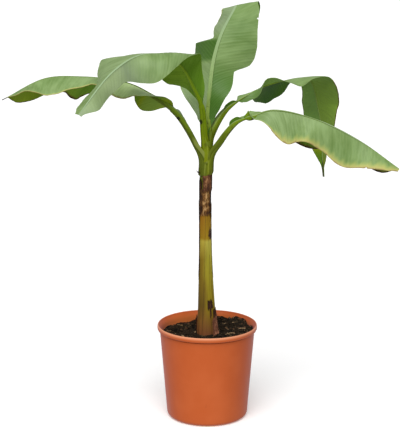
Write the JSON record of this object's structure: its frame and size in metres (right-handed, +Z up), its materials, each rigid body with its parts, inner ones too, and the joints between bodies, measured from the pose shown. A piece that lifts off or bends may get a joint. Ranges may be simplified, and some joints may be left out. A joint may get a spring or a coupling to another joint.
{
  "type": "potted banana plant",
  "caption": "Young hardy banana plant with long arching leaves on a slim stem with dry sheaths, growing in a round flared terracotta-coloured pot of dark compost.",
  "frame": {"origin": "centre of the pot's flat underside, on the surface that it stands on", "axes": "+Z up along the stem, +X to the right of the front view, +Y away from the front"},
  "size_m": [0.9569, 0.4481, 1.0713],
  "materials": {
    "terracotta_plastic": "matte, slightly blotched, with a smooth rolled rim",
    "compost": "dark, lumpy and dull, with woody bits",
    "green_stem": "fibrous yellow-olive sheaths, half matte",
    "dry_sheath": "dry, brown and papery",
    "petiole_green": "smooth, waxy yellow-green",
    "leaf_green": "thin, ribbed across, with a soft sheen above and darker below"
  },
  "bodies": {
    "root": {"pot": "terracotta_plastic", "potting_soil": "compost", "pseudostem": "green_stem", "dry_sheath_collar": "dry_sheath", "dry_sheath_foot": "dry_sheath", "upright_petiole": "petiole_green", "front_left_petiole": "petiole_green", "left_petiole": "petiole_green", "back_right_petiole": "petiole_green", "right_petiole": "petiole_green", "upright_leaf_rise": "leaf_green", "upright_leaf_fall": "leaf_green", "front_left_leaf_rise": "leaf_green", "front_left_leaf_fall": "leaf_green", "left_leaf": "leaf_green", "back_right_leaf_rise": "leaf_green", "back_right_leaf_fall": "leaf_green", "right_leaf": "leaf_green"}
  },
  "joints": []
}
